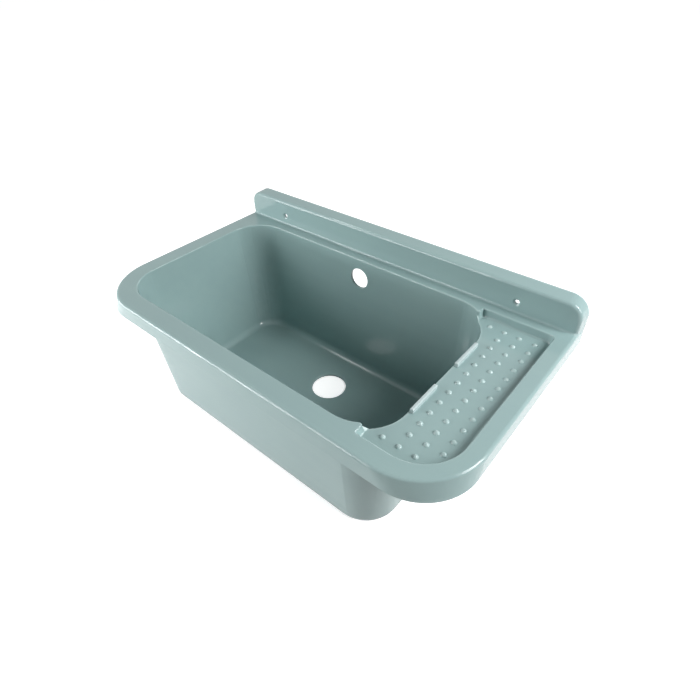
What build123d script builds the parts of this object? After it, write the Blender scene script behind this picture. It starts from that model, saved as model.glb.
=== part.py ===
from build123d import *
import os

os.makedirs("parts", exist_ok=True)

# Overall sizes in mm, seen from the front: X to the right, Y to the wall, Z up
width = 500.0
depth = 283.0
rim_z = 175.0
wall = 3.5

# Rim and the skirt that hangs from it
skirt_drop = 20.0
back_drop = 12.0
skirt_flare = 0.7
corner_top_r = 73.0
corner_low_r = 58.0
rim_edge_r = 3.5
lip_r = 1.5

# Bowl, by the width of rim that is left beside its opening
bowl_margin = 25.5
back_margin = 34.0
board_margin = 82.5
bowl_left_r = 45.0
bowl_right_r = 48.0
bowl_draft = 3.4
floor_fillet = 10.0
heel_chamfer = 4.5

# Drainer board sunk into the right end of the rim
board_drop = 10.0
board_overlap = 17.5
board_rim_right = 19.5
board_rim_front = 22.5
board_corner_r = 45.0
board_back_r = 5.0
board_draft = 6.0
board_chamfer = 1.5
step_r = 3.0
step_reach = 2.0

# Pips on the board
pip_r = 2.7
pip_rise = 2.0
pip_draft = 28.0
pip_sides = 8
pip_rows = 13
pip_pitch_x = 17.2
pip_inset = 15.5
pip_end_inset = 12.75

# Upstand along the wall
upstand_rise = 36.0
upstand_face_rise = 34.0
upstand_thick = 18.5
upstand_end_set = 0.4
upstand_end_lean = 1.8
upstand_corner_r = 22.0
upstand_face_r = 17.0
upstand_edge_r = 4.0
foot_r = 2.5
back_rib = 2.5
back_rib_inset = 135.0

# Holes
drain_r = 24.0
drain_chamfer = 1.0
drain_back = 107.5
overflow_r = 14.0
overflow_drop = 27.5
screw_r = 2.75
screw_seat_r = 5.0
screw_seat_angle = 120.0
screw_inset = 71.0
screw_rise = 12.5

# Stop strips pushed into the board beside the bowl
strip_length = 41.5
strip_spacing = 79.0
strip_thick = 4.0
strip_rise = 5.0
strip_edge_r = 1.2
strip_set = 0.3
tongue_thick = 1.8
tongue_length = 36.0
tongue_drop = 6.0
tongue_chamfer = 0.4
fit_gap = 0.3
socket_wall = 2.4

# Ribs under the board
rib_count = 3
rib_thick = 2.5
rib_spacing = 66.0
rib_short = 1.0

# Places worked out from the sizes above
front_y = -depth / 2
back_y = depth / 2
right_x = width / 2
bowl_length = width - bowl_margin - board_margin
bowl_breadth = depth - bowl_margin - back_margin
bowl_right = right_x - board_margin
bowl_back = back_y - back_margin
bowl_x = bowl_right - bowl_length / 2
bowl_y = bowl_back - bowl_breadth / 2
board_z = rim_z - board_drop
board_x0 = bowl_right - board_overlap
board_x1 = right_x - board_rim_right
board_y0 = front_y + board_rim_front
board_y1 = bowl_back
pip_x = bowl_right + pip_inset
pip_pitch_y = (bowl_breadth - 2 * pip_end_inset) / (pip_rows - 1)
face_y = back_y - upstand_thick
strip_x = bowl_right + strip_set + strip_thick / 2
socket_x = strip_x + tongue_thick / 2 + fit_gap + socket_wall
strip_spots = [(strip_x, bowl_y - strip_spacing / 2), (strip_x, bowl_y + strip_spacing / 2)]

# Limits for picking edges and faces
near = 0.01
upright = 0.7


def rim_outline(z, radius, inset, back_inset):
    # Rim seen from above, with the two round front corners
    with BuildSketch(Plane.XY.offset(z)) as outline:
        with Locations((0, (inset - back_inset) / 2)):
            Rectangle(width - 2 * inset, depth - inset - back_inset)
        fillet(outline.vertices().group_by(Axis.Y)[0], radius - inset)
    return outline.sketch


def bowl_outline(z, grow):
    # Bowl seen from above, with its own radius at either end
    with BuildSketch(Plane.XY.offset(z)) as outline:
        with Locations((bowl_x, bowl_y)):
            Rectangle(bowl_length + 2 * grow, bowl_breadth + 2 * grow)
        fillet(outline.vertices().group_by(Axis.X)[0], bowl_left_r + grow)
        fillet(outline.vertices().group_by(Axis.X)[-1], bowl_right_r + grow)
    return outline.sketch


def upstand_outline(y, low, rise, inset, radius):
    # Upstand seen from the front, with its two round top corners
    with BuildSketch(Plane.XZ.offset(-y)) as outline:
        with Locations((0, (low + rim_z + rise) / 2)):
            Rectangle(width - 2 * inset, rim_z + rise - low)
        fillet(outline.vertices().group_by(Axis.Y)[-1], radius)
    return outline.sketch


# Outside of the bowl, drafted so that it leaves its mould
with BuildPart() as bowl_body:
    extrude(bowl_outline(rim_z - wall / 2, wall), amount=-(rim_z - wall / 2), taper=bowl_draft)
    chamfer(bowl_body.faces().sort_by(Axis.Z)[0].edges(), heel_chamfer)

# Inside of the bowl, with the round foot of its walls
with BuildPart() as bowl_void:
    extrude(bowl_outline(rim_z, 0), amount=-(rim_z - wall), taper=bowl_draft)
    fillet(bowl_void.faces().sort_by(Axis.Z)[0].edges(), floor_fillet)

# Space over the drainer board
with BuildPart() as board_void:
    with BuildSketch(Plane.XY.offset(board_z)) as board_plan:
        with Locations(((board_x0 + board_x1) / 2, (board_y0 + board_y1) / 2)):
            Rectangle(board_x1 - board_x0, board_y1 - board_y0)
        fillet(board_plan.vertices().group_by(Axis.X)[-1].sort_by(Axis.Y)[0], board_corner_r)
        fillet(board_plan.vertices().group_by(Axis.X)[-1].sort_by(Axis.Y)[-1], board_back_r)
    extrude(amount=board_drop, taper=-board_draft)
    chamfer(board_void.faces().sort_by(Axis.Z)[0].edges(), board_chamfer)

# Upstand, a little narrower and lower at its face, whose edge is rounded over
with BuildPart() as upstand_body:
    upstand_back = upstand_outline(back_y, rim_z - wall, upstand_rise, upstand_end_set, upstand_corner_r)
    upstand_front = upstand_outline(
        face_y, rim_z - wall, upstand_face_rise, upstand_end_set + upstand_end_lean, upstand_face_r
    )
    loft([upstand_back, upstand_front], ruled=True)
    face_edges = upstand_body.faces().sort_by(Axis.Y)[0].edges()
    fillet(face_edges.filter_by(lambda e: e.center().Z > rim_z), upstand_edge_r)

# The moulding itself
with BuildPart() as basin:
    rim_low = rim_outline(rim_z - skirt_drop, corner_low_r, 0, 0)
    rim_top = rim_outline(rim_z, corner_top_r, skirt_flare, 0)
    loft([rim_low, rim_top], ruled=True)
    rim_edges = basin.faces().sort_by(Axis.Z)[-1].edges()
    fillet(rim_edges.filter_by(lambda e: e.center().Y < back_y - wall), rim_edge_r)

    # Hollow below the rim
    hollow_low = rim_outline(rim_z - skirt_drop, corner_low_r, wall, wall)
    hollow_top = rim_outline(rim_z - wall, corner_top_r, wall + skirt_flare, wall)
    loft([hollow_low, hollow_top], ruled=True, mode=Mode.SUBTRACT)

    # Back skirt, shorter than the rest to let a pipe leave the overflow
    with Locations((0, back_y, rim_z - skirt_drop)):
        Box(
            width - 4 * wall,
            2 * wall,
            skirt_drop - back_drop,
            align=(Align.CENTER, Align.CENTER, Align.MIN),
            mode=Mode.SUBTRACT,
        )

    # Pan that carries the drainer board
    with BuildSketch(Plane.XY.offset(board_z - wall)):
        add(board_plan.sketch)
        offset(amount=wall)
    extrude(amount=board_drop + wall / 2)

    # Ribs between the bowl and the skirt, under the board
    with Locations((bowl_right, bowl_y, rim_z - skirt_drop + rib_short)):
        with GridLocations(0, rib_spacing, 1, rib_count):
            Box(
                board_margin - wall / 2,
                rib_thick,
                skirt_drop - board_drop - wall / 2 - rib_short,
                align=(Align.MIN, Align.CENTER, Align.MIN),
            )

    # Sockets for the stop strips
    for x, y in strip_spots:
        with Locations((bowl_right, y, board_z - wall / 2)):
            Box(
                socket_x - bowl_right,
                tongue_length + 2 * fit_gap + 2 * socket_wall,
                tongue_drop + fit_gap + socket_wall - wall / 2,
                align=(Align.MIN, Align.CENTER, Align.MAX),
            )

    add(bowl_body.part)
    add(board_void.part, mode=Mode.SUBTRACT)
    add(bowl_void.part, mode=Mode.SUBTRACT)

    # Rounded ends where the rim steps down to the board
    step_edges = basin.edges().filter_by(lambda e: board_z < e.center().Z < rim_z - lip_r)
    step_edges = step_edges.filter_by(lambda e: abs(e.center().X - board_x0) < step_reach)
    step_edges = step_edges.filter_by(lambda e: abs(e.center().Y - bowl_y) < bowl_breadth / 2 - step_r)
    fillet(step_edges.filter_by(lambda e: abs(e.tangent_at(0.5).Z) > upright), step_r)

    # Upstand, hollow and open at the wall side
    add(upstand_body.part)
    hollow_back = upstand_outline(
        back_y, rim_z, upstand_rise - wall, upstand_end_set + wall, upstand_corner_r - wall
    )
    hollow_front = upstand_outline(
        face_y + wall, rim_z, upstand_face_rise - wall, upstand_end_set + upstand_end_lean + wall,
        upstand_face_r - wall,
    )
    loft([hollow_back, hollow_front], ruled=True, mode=Mode.SUBTRACT)

    # Rounded lip all round the bowl and the board, and the round foot of the upstand
    rim_face = basin.faces().filter_by(lambda f: abs(f.center().Z - rim_z) < near).sort_by(SortBy.AREA)[-1]
    fillet(rim_face.inner_wires()[0].edges(), lip_r)
    foot_edges = basin.edges().filter_by(Axis.X).filter_by(
        lambda e: abs(e.center().Y - face_y) < near and abs(e.center().Z - rim_z) < near
    )
    fillet(foot_edges, foot_r)

    # Ribs behind the upstand
    with Locations((0, face_y + wall / 2, rim_z - wall / 2)):
        with GridLocations(width - 2 * back_rib_inset, 0, 2, 1):
            Box(
                back_rib,
                upstand_thick - wall / 2,
                upstand_face_rise,
                align=(Align.CENTER, Align.MIN, Align.MIN),
            )

    # Drain, overflow and the two dished screw holes
    with Locations((bowl_x, back_y - drain_back, wall)):
        Hole(drain_r, depth=2 * wall)
    drain_edges = basin.edges().filter_by(GeomType.CIRCLE).filter_by(lambda e: abs(e.radius - drain_r) < near)
    chamfer(drain_edges.sort_by(Axis.Z)[-1], drain_chamfer)
    with Locations(Plane((bowl_x, bowl_back - 2 * wall, rim_z - overflow_drop), z_dir=(0, -1, 0))):
        Hole(overflow_r, depth=4 * wall)
    with Locations(Plane((0, face_y, rim_z + screw_rise), x_dir=(1, 0, 0), z_dir=(0, -1, 0))):
        with GridLocations(width - 2 * screw_inset, 0, 2, 1):
            CounterSinkHole(screw_r, screw_seat_r, depth=2 * wall, counter_sink_angle=screw_seat_angle)

    # Pips in three straight rows, one short where the board's corner is round, and one at each step
    with BuildSketch(Plane.XY.offset(board_z)):
        with Locations((pip_x + pip_pitch_x / 2, bowl_y)):
            with GridLocations(pip_pitch_x, pip_pitch_y, 2, pip_rows):
                RegularPolygon(pip_r, pip_sides)
        with Locations((pip_x + 2 * pip_pitch_x, bowl_y + pip_pitch_y / 2)):
            with GridLocations(0, pip_pitch_y, 1, pip_rows - 1):
                RegularPolygon(pip_r, pip_sides)
        with Locations((pip_x - pip_pitch_x, bowl_y)):
            with GridLocations(0, pip_pitch_y * (pip_rows - 1), 1, 2):
                RegularPolygon(pip_r, pip_sides)
    extrude(amount=pip_rise, taper=pip_draft)

    # Slots that take the tongues of the stop strips
    for x, y in strip_spots:
        with Locations((x, y, board_z)):
            Box(
                tongue_thick + 2 * fit_gap,
                tongue_length + 2 * fit_gap,
                2 * (tongue_drop + fit_gap),
                mode=Mode.SUBTRACT,
            )
basin.part.label = "basin"
export_step(basin.part, "parts/basin.step")

# Front stop strip: a round-topped bar with a tongue below it
with BuildPart(Plane((*strip_spots[0], board_z))) as stop_front:
    Box(strip_thick, strip_length, strip_rise, align=(Align.CENTER, Align.CENTER, Align.MIN))
    fillet(stop_front.faces().sort_by(Axis.Z)[-1].edges(), strip_edge_r)
    Box(tongue_thick, tongue_length, tongue_drop, align=(Align.CENTER, Align.CENTER, Align.MAX))
    chamfer(stop_front.faces().sort_by(Axis.Z)[0].edges(), tongue_chamfer)
stop_front.part.label = "stop_strip_front"
export_step(stop_front.part, "parts/stop_strip_front.step")

# Rear stop strip, the same piece moved along the board
with BuildPart() as stop_rear:
    with Locations((0, strip_spacing, 0)):
        add(stop_front.part)
stop_rear.part.label = "stop_strip_rear"
export_step(stop_rear.part, "parts/stop_strip_rear.step")
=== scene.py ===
import math

import bmesh
import bpy
from mathutils import Matrix, Vector


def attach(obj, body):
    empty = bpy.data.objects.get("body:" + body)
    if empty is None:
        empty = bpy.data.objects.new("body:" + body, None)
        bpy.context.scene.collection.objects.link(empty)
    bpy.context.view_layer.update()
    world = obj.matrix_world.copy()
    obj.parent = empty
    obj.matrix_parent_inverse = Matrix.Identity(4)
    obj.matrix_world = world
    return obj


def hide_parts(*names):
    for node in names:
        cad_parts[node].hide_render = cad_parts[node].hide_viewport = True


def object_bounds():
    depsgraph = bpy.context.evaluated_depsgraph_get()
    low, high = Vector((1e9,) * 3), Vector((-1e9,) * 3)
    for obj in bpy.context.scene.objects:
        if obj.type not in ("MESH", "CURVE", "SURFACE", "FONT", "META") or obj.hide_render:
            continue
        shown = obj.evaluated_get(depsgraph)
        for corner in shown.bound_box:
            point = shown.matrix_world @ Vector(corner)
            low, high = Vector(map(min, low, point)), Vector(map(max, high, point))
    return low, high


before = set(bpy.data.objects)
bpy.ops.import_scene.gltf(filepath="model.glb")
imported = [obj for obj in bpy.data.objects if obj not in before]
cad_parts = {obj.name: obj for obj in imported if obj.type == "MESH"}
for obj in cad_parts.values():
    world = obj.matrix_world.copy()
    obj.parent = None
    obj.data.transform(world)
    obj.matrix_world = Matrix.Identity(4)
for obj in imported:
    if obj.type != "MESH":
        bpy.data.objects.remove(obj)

cadLow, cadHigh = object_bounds()
mm = 0.001
print("frame loaded:", sorted(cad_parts))


def toLinear(hexText):
    # sRGB hex to linear light, with full alpha
    parts = [int(hexText[i:i + 2], 16) / 255 for i in (1, 3, 5)]
    linear = [c / 12.92 if c <= 0.04045 else ((c + 0.055) / 1.055) ** 2.4 for c in parts]
    return (*linear, 1.0)


def addNode(tree, kind, settings=None, values=None, links=None):
    # one node with its settings, socket values and incoming links
    node = tree.nodes.new(kind)
    for name, value in (settings or {}).items():
        setattr(node, name, value)
    for name, value in (values or {}).items():
        node.inputs[name].default_value = value
    for name, source in (links or {}).items():
        tree.links.new(source, node.inputs[name])
    return node


def compute(tree, operation, *terms):
    # a math node on plain numbers and other nodes' outputs
    values = {i: term for i, term in enumerate(terms) if isinstance(term, (int, float))}
    links = {i: term for i, term in enumerate(terms) if i not in values}
    return addNode(tree, "ShaderNodeMath", {"operation": operation}, values, links).outputs[0]


def remap(tree, source, fromLow, fromHigh, toLow=0.0, toHigh=1.0):
    # one range of values to another, held at its ends
    values = {"From Min": fromLow, "From Max": fromHigh, "To Min": toLow, "To Max": toHigh}
    node = addNode(tree, "ShaderNodeMapRange", values=values, links={"Value": source})
    return node.outputs["Result"]


def mixColours(tree, share, first, second):
    # from the first colour to the second, each a plain colour or a node's output
    # a mix of colours takes them in sockets 6 and 7 and gives its result in 2
    values = {i: term for i, term in ((6, first), (7, second)) if isinstance(term, tuple)}
    links = {i: term for i, term in ((0, share), (6, first), (7, second)) if i not in values}
    return addNode(tree, "ShaderNodeMix", {"data_type": "RGBA"}, values, links).outputs[2]


def addNoise(tree, place, scale, detail):
    values = {"Scale": scale, "Detail": detail}
    node = addNode(tree, "ShaderNodeTexNoise", values=values, links={"Vector": place})
    return node.outputs["Fac"]


def addBump(tree, height, depth, normal):
    values = {"Strength": 1.0, "Distance": depth}
    links = {"Height": height, "Normal": normal}
    return addNode(tree, "ShaderNodeBump", values=values, links=links).outputs["Normal"]


def newMaterial(name):
    material = bpy.data.materials.new(name)
    material.use_nodes = True
    material.node_tree.nodes.clear()
    return material, material.node_tree


# Moulded polypropylene: an even, waxy colour with a soft gloss, faint flow streaks from the mould
# and a very fine orange peel. Edges that face up are made lighter and a little smoother: partly
# wear, partly a painted highlight along the edges.
mouldedPlastic = {
    "colour": "#8ea7a6",
    "shade": "#8ba4a4",
    # edge colour: wear and a painted highlight
    "rubbedHighlight": "#a6bcbb",
    "ior": 1.49,
    "specular": 0.40,  # the mould's fine grain takes off some of the mirror
    "roughLow": 0.11,
    "roughHigh": 0.15,
    "noiseLow": 0.35,  # most of a noise lies between these two
    "noiseHigh": 0.65,
    "cloudSize": 110 * mm,
    "cloudDetail": 3.0,
    "streakLength": 240 * mm,
    "streakWidth": 14 * mm,
    "streakDetail": 2.0,
    "streakWeight": 0.5,
    "mixLow": 0.55,
    "mixHigh": 0.95,
    "peelSize": 1.8 * mm,  # finer in life, drawn this coarse to show at all
    "peelDetail": 2.0,
    "peelDepth": 0.006 * mm,
    "sagSize": 45 * mm,
    "sagDetail": 1.0,
    "sagDepth": 0.05 * mm,
    "edgeReach": 3.0 * mm,
    "edgeSamples": 6,
    "edgeStart": 0.90,  # how open the wall looks inwards where the edge lightening (wear and painted highlight) starts and where it is full
    "edgeFull": 0.45,
    "slopeStart": 0.1,  # upward part of the normal where the edge lightening (wear and painted highlight) starts and where it is full
    "slopeFull": 0.5,
    "wearAndHighlightLeast": 0.6,
    "polish": 0.03,
    "softness": 0.5 * mm,
    "softSamples": 4,
}

# The stop strips come from another mould and are a little duller; their paler colour is painted
# light, standing in for the light their lit sides and rounded edges catch
stripPlasticPaintedLight = dict(
    mouldedPlastic,
    # paler than the moulding: painted light on the strips
    colour="#b0c0c1",
    shade="#a9babb",
    rubbedHighlight="#c3d0d1",
    roughLow=0.20,
    roughHigh=0.26,
    streakLength=30 * mm,
    streakWidth=3 * mm,
)


def makeMouldedPlastic(name, look):
    material, tree = newMaterial(name)
    place = addNode(tree, "ShaderNodeTexCoord").outputs["Object"]

    # colour: broad clouds and long streaks between two close shades
    cloud = addNoise(tree, place, 1 / look["cloudSize"], look["cloudDetail"])
    stretch = (1 / look["streakLength"], 1 / look["streakWidth"], 1 / look["streakWidth"])
    along = addNode(tree, "ShaderNodeMapping", values={"Scale": stretch}, links={"Vector": place})
    streak = addNoise(tree, along.outputs["Vector"], 1.0, look["streakDetail"])
    mixed = compute(tree, "MULTIPLY_ADD", streak, look["streakWeight"], cloud)
    share = remap(tree, mixed, look["mixLow"], look["mixHigh"])
    body = mixColours(tree, share, toLinear(look["shade"]), toLinear(look["colour"]))

    # wear on edges with a painted highlight on them, round and sharp alike: where a look inwards
    # through the wall soon comes out
    inwards = addNode(
        tree,
        "ShaderNodeAmbientOcclusion",
        {"inside": True, "only_local": True, "samples": look["edgeSamples"]},
        {"Distance": look["edgeReach"]},
    )
    edge = remap(tree, inwards.outputs["AO"], look["edgeStart"], look["edgeFull"])
    # hands and tools rub what faces up, and the painted highlight keeps to the same upward edges,
    # more in some places than in others
    normal = addNode(tree, "ShaderNodeNewGeometry").outputs["Normal"]
    facing = addNode(tree, "ShaderNodeSeparateXYZ", links={0: normal})
    upward = remap(tree, facing.outputs["Z"], look["slopeStart"], look["slopeFull"])
    patchy = remap(tree, streak, look["noiseLow"], look["noiseHigh"], look["wearAndHighlightLeast"], 1.0)
    wornAndHighlit = compute(tree, "MULTIPLY", compute(tree, "MULTIPLY", edge, upward), patchy)
    # edges mixed toward the paler edge colour: wear plus a painted highlight
    coloured = mixColours(tree, wornAndHighlit, body, toLinear(look["rubbedHighlight"]))

    # gloss: uneven by a few hundredths, and smoother where it is worn
    gloss = remap(
        tree, cloud, look["noiseLow"], look["noiseHigh"], look["roughLow"], look["roughHigh"]
    )
    polished = compute(tree, "MULTIPLY_ADD", wornAndHighlit, -look["polish"], gloss)

    # surface: slow sag of the cooling wall, then the peel, over softened edges
    soft = addNode(
        tree,
        "ShaderNodeBevel",
        {"samples": look["softSamples"]},
        {"Radius": look["softness"]},
    )
    sag = addNoise(tree, place, 1 / look["sagSize"], look["sagDetail"])
    peel = addNoise(tree, place, 1 / look["peelSize"], look["peelDetail"])
    sagged = addBump(tree, sag, look["sagDepth"], soft.outputs["Normal"])
    peeled = addBump(tree, peel, look["peelDepth"], sagged)

    shader = addNode(
        tree,
        "ShaderNodeBsdfPrincipled",
        values={"IOR": look["ior"], "Specular IOR Level": look["specular"]},
        links={"Base Color": coloured, "Roughness": polished, "Normal": peeled},
    )
    addNode(tree, "ShaderNodeOutputMaterial", links={"Surface": shader.outputs["BSDF"]})
    return material


mouldingMaterial = makeMouldedPlastic("mouldedPolypropyleneGreyGreen", mouldedPlastic)
stripMaterialPaintedLight = makeMouldedPlastic("mouldedPolypropylenePaintedLightPale", stripPlasticPaintedLight)
print("materials made")

# Tolerances of the mesh work
meshWork = {
    "joinDistance": 0.002 * mm,
    "cutTolerance": 0.001 * mm,
}


def mergedCopy(node):
    # a CAD node's loose triangles, joined at their shared corners
    bm = bmesh.new()
    bm.from_mesh(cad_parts[node].data)
    bmesh.ops.remove_doubles(bm, verts=bm.verts, dist=meshWork["joinDistance"])
    return bm


def cutLongFaces(bm, pitch):
    # long thin triangles are cut short, so that a corner's shading does not run on along an edge
    for axis in range(3):
        across = [0.0, 0.0, 0.0]
        across[axis] = 1.0
        place = [0.0, 0.0, 0.0]
        place[axis] = cadLow[axis] + pitch / 2
        while place[axis] < cadHigh[axis]:
            bmesh.ops.bisect_plane(
                bm,
                geom=bm.verts[:] + bm.edges[:] + bm.faces[:],
                dist=meshWork["cutTolerance"],
                plane_co=place,
                plane_no=across,
            )
            place[axis] += pitch


def bakePiece(name, bm, material, shape):
    # mesh data to a finished plain mesh: edges broken where asked, flat faces kept flat in shading
    sharpAngle = math.radians(shape["sharpAngle"])
    for face in bm.faces:
        face.smooth = True
    for edge in bm.edges:
        edge.smooth = not (edge.is_manifold and edge.calc_face_angle() > sharpAngle)
    mesh = bpy.data.meshes.new(name + "Raw")
    bm.to_mesh(mesh)
    bm.free()
    raw = bpy.data.objects.new(name + "Raw", mesh)
    bpy.context.scene.collection.objects.link(raw)
    broken = "edge" in shape
    if broken:
        bevel = raw.modifiers.new("softEdges", "BEVEL")
        bevel.width = shape["edge"]
        bevel.segments = shape["edgeSteps"]
        bevel.limit_method = "ANGLE"
        bevel.angle_limit = sharpAngle
    flat = raw.modifiers.new("flatFaces", "WEIGHTED_NORMAL")
    flat.keep_sharp = not broken
    return bakeObject(raw, name, material)


def bakeObject(raw, name, material):
    # evaluated modifiers to one plain mesh, and the working object goes
    depsgraph = bpy.context.evaluated_depsgraph_get()
    mesh = bpy.data.meshes.new_from_object(raw.evaluated_get(depsgraph))
    bpy.data.objects.remove(raw)
    mesh.name = name
    mesh.materials.clear()
    mesh.materials.append(material)
    piece = bpy.data.objects.new(name, mesh)
    bpy.context.scene.collection.objects.link(piece)
    return piece


# Pips on the drainer board: round domes on a small foot, in rows as the mould cutter spaced them
pips = {
    "columns": 4,
    "rows": 13,
    "pitchX": 17.2 * mm,
    "pitchY": 16.5 * mm,
    "firstX": 165.8 * mm,  # the short column beside the bowl
    "middleY": -4.25 * mm,
    "boardZ": 165.0 * mm,
    "radius": 2.55 * mm,
    "rise": 2.0 * mm,
    "foot": 0.5 * mm,
    "flarePower": 5,
    "sunk": 0.2 * mm,
    "solidReach": 3.2 * mm,  # reach of the plain pips in the CAD solid
    "solidBase": 0.02 * mm,  # their faces start this far above the board
    "solidSpare": 0.1 * mm,
    "around": 20,
    "rings": 7,
}


def pipPlaces():
    # centres of the pips: the first column has only its two ends, the last starts one row later
    lastColumn = pips["columns"] - 1
    lastRow = pips["rows"] - 1
    places = []
    for column in range(pips["columns"]):
        for row in range(pips["rows"]):
            if column == 0 and 0 < row < lastRow:
                continue
            if column == lastColumn and row == 0:
                continue
            x = pips["firstX"] + column * pips["pitchX"]
            y = pips["middleY"] + (row - lastRow / 2) * pips["pitchY"]
            places.append((x, y))
    return places


# The moulding: the CAD shape with its plain pips taken off and smooth shading
basin = {"sharpAngle": 52, "cutPitch": 18.3 * mm}


def makeBasin():
    bm = mergedCopy("basin")
    low = pips["boardZ"] + pips["solidBase"]
    high = pips["boardZ"] + pips["rise"] + pips["solidSpare"]
    places = pipPlaces()
    raised = []
    for face in bm.faces:
        middle = face.calc_center_median()
        if low < middle.z < high:
            away = min(math.hypot(middle.x - x, middle.y - y) for x, y in places)
            if away < pips["solidReach"]:
                raised.append(face)
    bmesh.ops.delete(bm, geom=raised, context="FACES")
    bmesh.ops.delete(bm, geom=[v for v in bm.verts if not v.link_faces], context="VERTS")
    rings = [edge for edge in bm.edges if edge.is_boundary]
    bmesh.ops.holes_fill(bm, edges=rings, sides=0)
    openEdges = sum(edge.is_boundary for edge in bm.edges)
    print("plain pips taken off, faces:", len(raised), "open edges left:", openEdges)
    cutLongFaces(bm, basin["cutPitch"])
    return bakePiece("basinShell", bm, mouldingMaterial, basin)


def makePipSeed():
    # one dome, turned from a profile: flat underside, flared foot, round top
    profile = [(pips["radius"] + pips["foot"], -pips["sunk"])]
    for step in range(pips["rings"]):
        share = step / pips["rings"]
        angle = share * math.pi / 2
        flare = pips["foot"] * (1 - share) ** pips["flarePower"]
        profile.append((pips["radius"] * math.cos(angle) + flare, pips["rise"] * math.sin(angle)))
    # corner by corner, because the spin operator lists its faces in another order on each run
    around = pips["around"]
    corners = [(0.0, 0.0, -pips["sunk"]), (0.0, 0.0, pips["rise"])]
    bottom, top = 0, 1
    rings = []
    for reach, z in profile:
        rings.append(range(len(corners), len(corners) + around))
        for turn in range(around):
            angle = math.tau * turn / around
            corners.append((reach * math.cos(angle), reach * math.sin(angle), z))
    faces = []
    for turn in range(around):
        after = (turn + 1) % around
        faces.append((bottom, rings[0][after], rings[0][turn]))
        for lower, upper in zip(rings, rings[1:]):
            faces.append((lower[turn], lower[after], upper[after], upper[turn]))
        faces.append((rings[-1][turn], rings[-1][after], top))
    mesh = bpy.data.meshes.new("pipSeed")
    mesh.from_pydata(corners, [], faces)
    mesh.shade_smooth()
    seed = bpy.data.objects.new("pipSeed", mesh)
    bpy.context.scene.collection.objects.link(seed)
    return seed


def pipTree():
    # rows of points on a grid, thinned by column, with one dome on each
    tree = bpy.data.node_groups.new("pipRows", "GeometryNodeTree")
    sockets = {}
    for name, kind in (
        ("Dome", "NodeSocketObject"),
        ("Columns", "NodeSocketInt"),
        ("Rows", "NodeSocketInt"),
        ("Pitch X", "NodeSocketFloat"),
        ("Pitch Y", "NodeSocketFloat"),
        ("Centre", "NodeSocketVector"),
        ("Material", "NodeSocketMaterial"),
    ):
        socket = tree.interface.new_socket(name=name, in_out="INPUT", socket_type=kind)
        sockets[name] = socket.identifier
    tree.interface.new_socket(name="Geometry", in_out="OUTPUT", socket_type="NodeSocketGeometry")
    given = addNode(tree, "NodeGroupInput").outputs
    lastColumn = compute(tree, "SUBTRACT", given["Columns"], 1.0)
    lastRow = compute(tree, "SUBTRACT", given["Rows"], 1.0)
    grid = addNode(
        tree,
        "GeometryNodeMeshGrid",
        links={
            "Size X": compute(tree, "MULTIPLY", lastColumn, given["Pitch X"]),
            "Size Y": compute(tree, "MULTIPLY", lastRow, given["Pitch Y"]),
            "Vertices X": given["Columns"],
            "Vertices Y": given["Rows"],
        },
    )
    # a point's column and row, from its number
    number = addNode(tree, "GeometryNodeInputIndex").outputs["Index"]
    column = compute(tree, "FLOOR", compute(tree, "DIVIDE", number, given["Rows"]))
    row = compute(tree, "MODULO", number, given["Rows"])
    # whole numbers are told apart by a half
    half = 0.5
    isFirst = compute(tree, "LESS_THAN", column, half)
    isLast = compute(tree, "COMPARE", column, lastColumn, half)
    afterStart = compute(tree, "GREATER_THAN", row, half)
    atStart = compute(tree, "LESS_THAN", row, half)
    beforeEnd = compute(tree, "LESS_THAN", row, compute(tree, "SUBTRACT", lastRow, half))
    inner = compute(tree, "MULTIPLY", afterStart, beforeEnd)
    dropFirst = compute(tree, "MULTIPLY", isFirst, inner)
    dropLast = compute(tree, "MULTIPLY", isLast, atStart)
    kept = addNode(
        tree,
        "GeometryNodeDeleteGeometry",
        {"domain": "POINT"},
        links={
            "Geometry": grid.outputs["Mesh"],
            "Selection": compute(tree, "MAXIMUM", dropFirst, dropLast),
        },
    )
    placed = addNode(
        tree,
        "GeometryNodeTransform",
        links={"Geometry": kept.outputs["Geometry"], "Translation": given["Centre"]},
    )
    dome = addNode(tree, "GeometryNodeObjectInfo", links={"Object": given["Dome"]})
    spread = addNode(
        tree,
        "GeometryNodeInstanceOnPoints",
        links={"Points": placed.outputs["Geometry"], "Instance": dome.outputs["Geometry"]},
    )
    solid = addNode(
        tree,
        "GeometryNodeRealizeInstances",
        links={"Geometry": spread.outputs["Instances"]},
    )
    dressed = addNode(
        tree,
        "GeometryNodeSetMaterial",
        links={"Geometry": solid.outputs["Geometry"], "Material": given["Material"]},
    )
    addNode(tree, "NodeGroupOutput", links={"Geometry": dressed.outputs["Geometry"]})
    return tree, sockets


def makePips():
    seed = makePipSeed()
    tree, sockets = pipTree()
    holder = bpy.data.objects.new("pipHolder", bpy.data.meshes.new("pipHolder"))
    bpy.context.scene.collection.objects.link(holder)
    modifier = holder.modifiers.new("pipRows", "NODES")
    modifier.node_group = tree
    centre = (
        pips["firstX"] + (pips["columns"] - 1) * pips["pitchX"] / 2,
        pips["middleY"],
        pips["boardZ"],
    )
    for name, value in (
        ("Dome", seed),
        ("Columns", pips["columns"]),
        ("Rows", pips["rows"]),
        ("Pitch X", pips["pitchX"]),
        ("Pitch Y", pips["pitchY"]),
        ("Centre", centre),
        ("Material", mouldingMaterial),
    ):
        modifier[sockets[name]] = value
    piece = bakeObject(holder, "drainerPips", mouldingMaterial)
    bpy.data.objects.remove(seed)
    return piece


# Stop strips: the CAD bars with every sharp edge broken, as a moulded strip has
strips = {"sharpAngle": 40, "edge": 0.25 * mm, "edgeSteps": 3}

basinShell = makeBasin()
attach(basinShell, "sink")
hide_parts("basin")
print("basin shell:", len(basinShell.data.polygons), "faces")

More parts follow.
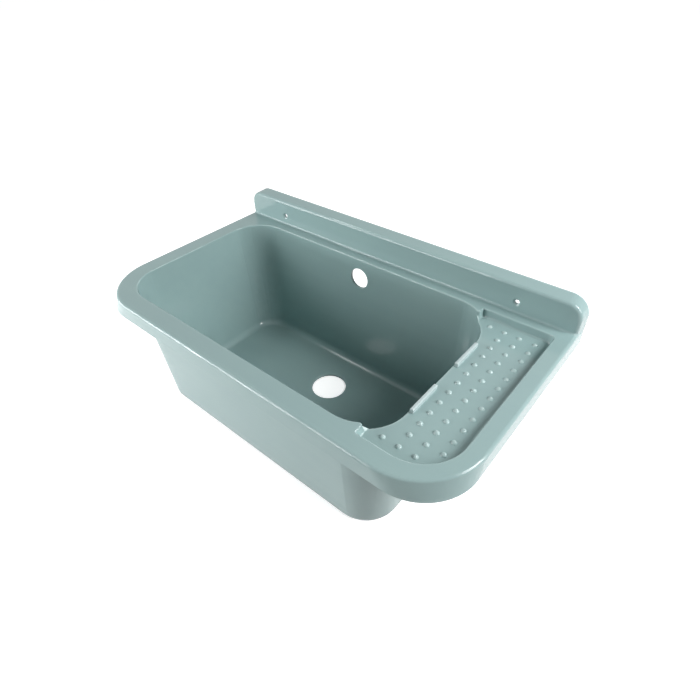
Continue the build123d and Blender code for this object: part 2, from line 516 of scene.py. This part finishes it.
drainerPips = makePips()
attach(drainerPips, "sink")
print("drainer pips:", len(drainerPips.data.polygons), "faces")

for node, body, name in (
    ("stop_strip_front", "front_strip", "stopStripFront"),
    ("stop_strip_rear", "rear_strip", "stopStripRear"),
):
    bar = bakePiece(name, mergedCopy(node), stripMaterialPaintedLight, strips)
    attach(bar, body)
    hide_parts(node)
    print(name + ":", len(bar.data.polygons), "faces")


# Studio: pale paper floor that stays white to the eye and keeps a soft shadow, soft boxes around
studio = {
    "floorSize": 60.0,
    "floorDrop": 0.5 * mm,
    "floorSeen": "#f2f2f2",
    "floorBounce": "#7c7c7c",  # what the paper throws back on the sink
    "glowNear": 0.55,
    "glowFar": 1.0,
    "nearReach": 0.5,
    "farReach": 2.0,
    "worldSeen": "#ffffff",
    "lamps": (
        # name, place, aimed at, width, height, watts
        ("frontStrip", (-0.52, -0.64, 0.19), (0.0, -0.05, 0.13), 0.95, 0.07, 4.0),
        ("frontBox", (-0.90, -1.30, 0.66), (0.0, 0.0, 0.13), 1.1, 0.7, 18.5),
        ("leftSpot", (-0.53, -0.09, 0.87), (0.0, 0.0, 0.15), 0.15, 0.15, 0.9),
        ("rightBox", (1.95, 0.60, 1.25), (0.0, 0.0, 0.13), 1.2, 1.2, 45.0),
        ("rightHighBox", (0.64, 0.18, 0.70), (0.0, 0.0, 0.13), 0.25, 0.25, 3.5),
        ("backBox", (-0.20, 1.70, 0.55), (0.0, 0.0, 0.13), 1.2, 0.8, 14.0),
    ),
}


def seenShare(tree):
    # 1 for what the eye sees, straight or in a reflection, and 0 for light thrown on the sink
    path = addNode(tree, "ShaderNodeLightPath").outputs
    share = path["Is Camera Ray"]
    for ray in ("Is Glossy Ray", "Is Transmission Ray"):
        share = compute(tree, "MAXIMUM", share, path[ray])
    return share


def makeFloor():
    # Matt white paper: the eye sees it near white, the sink gets less of it back
    material, tree = newMaterial("whitePaperFloor")
    seen = seenShare(tree)
    colour = mixColours(tree, seen, toLinear(studio["floorBounce"]), toLinear(studio["floorSeen"]))
    paper = addNode(tree, "ShaderNodeBsdfDiffuse", links={"Color": colour})
    # far from the lamps the paper has to glow more to stay white
    place = addNode(tree, "ShaderNodeTexCoord").outputs["Object"]
    away = addNode(tree, "ShaderNodeVectorMath", {"operation": "LENGTH"}, links={0: place})
    level = remap(
        tree,
        away.outputs["Value"],
        studio["nearReach"],
        studio["farReach"],
        studio["glowNear"],
        studio["glowFar"],
    )
    glow = compute(tree, "MULTIPLY", seen, level)
    shine = addNode(tree, "ShaderNodeEmission", links={"Strength": glow})
    both = addNode(
        tree,
        "ShaderNodeAddShader",
        links={0: paper.outputs["BSDF"], 1: shine.outputs["Emission"]},
    )
    addNode(tree, "ShaderNodeOutputMaterial", links={"Surface": both.outputs["Shader"]})
    half = studio["floorSize"] / 2
    corners = [(-half, -half), (half, -half), (half, half), (-half, half)]
    mesh = bpy.data.meshes.new("studioFloor")
    mesh.from_pydata([(x, y, -studio["floorDrop"]) for x, y in corners], [], [(0, 1, 2, 3)])
    mesh.materials.append(material)
    floor = bpy.data.objects.new("studioFloor", mesh)
    bpy.context.scene.collection.objects.link(floor)


def makeWorld():
    # white to the eye and in reflections, and no light of its own on the sink
    world = bpy.data.worlds.new("studioWorld")
    world.use_nodes = True
    tree = world.node_tree
    tree.nodes.clear()
    white = addNode(
        tree,
        "ShaderNodeBackground",
        values={"Color": toLinear(studio["worldSeen"])},
        links={"Strength": seenShare(tree)},
    )
    addNode(tree, "ShaderNodeOutputWorld", links={"Surface": white.outputs["Background"]})
    bpy.context.scene.world = world


def makeLamps():
    for name, place, aim, width, height, watts in studio["lamps"]:
        lamp = bpy.data.lights.new(name, "AREA")
        lamp.shape = "RECTANGLE"
        lamp.size = width
        lamp.size_y = height
        lamp.energy = watts
        holder = bpy.data.objects.new(name, lamp)
        holder.location = place
        holder.rotation_euler = (Vector(aim) - Vector(place)).to_track_quat("-Z", "Y").to_euler()
        bpy.context.scene.collection.objects.link(holder)


makeFloor()
makeWorld()
makeLamps()
bpy.context.scene.view_settings.view_transform = "Standard"
print("studio set")

# Camera at the photograph's angle, found from the straight edges of the rim
photoView = {
    "focalPixels": 493.4,
    "imagePixels": 700,
    "sensor": 36.0,
    "target": (76.9 * mm, -39.5 * mm, 175.0 * mm),
    "distance": 503.8 * mm,
    "azimuth": 40.80,
    "elevation": 40.35,
    "roll": -1.83,
    "clipStart": 10 * mm,
}


def makeCamera():
    angles = (photoView["azimuth"], photoView["elevation"], photoView["roll"])
    azimuth, elevation, roll = map(math.radians, angles)
    level = math.cos(elevation)
    away = Vector((math.sin(azimuth) * level, -math.cos(azimuth) * level, math.sin(elevation)))
    right = Vector((0, 0, 1)).cross(away).normalized()
    up = away.cross(right)
    sideways = math.cos(roll) * right + math.sin(roll) * up
    upwards = math.cos(roll) * up - math.sin(roll) * right
    camera = bpy.data.cameras.new("photoCamera")
    camera.sensor_width = photoView["sensor"]
    camera.lens = photoView["focalPixels"] / photoView["imagePixels"] * photoView["sensor"]
    camera.clip_start = photoView["clipStart"]
    holder = bpy.data.objects.new("photoCamera", camera)
    place = Vector(photoView["target"]) + photoView["distance"] * away
    turn = Matrix((sideways, upwards, away)).transposed()
    holder.matrix_world = Matrix.Translation(place) @ turn.to_4x4()
    bpy.context.scene.collection.objects.link(holder)
    bpy.context.scene.camera = holder


makeCamera()
print("camera set")
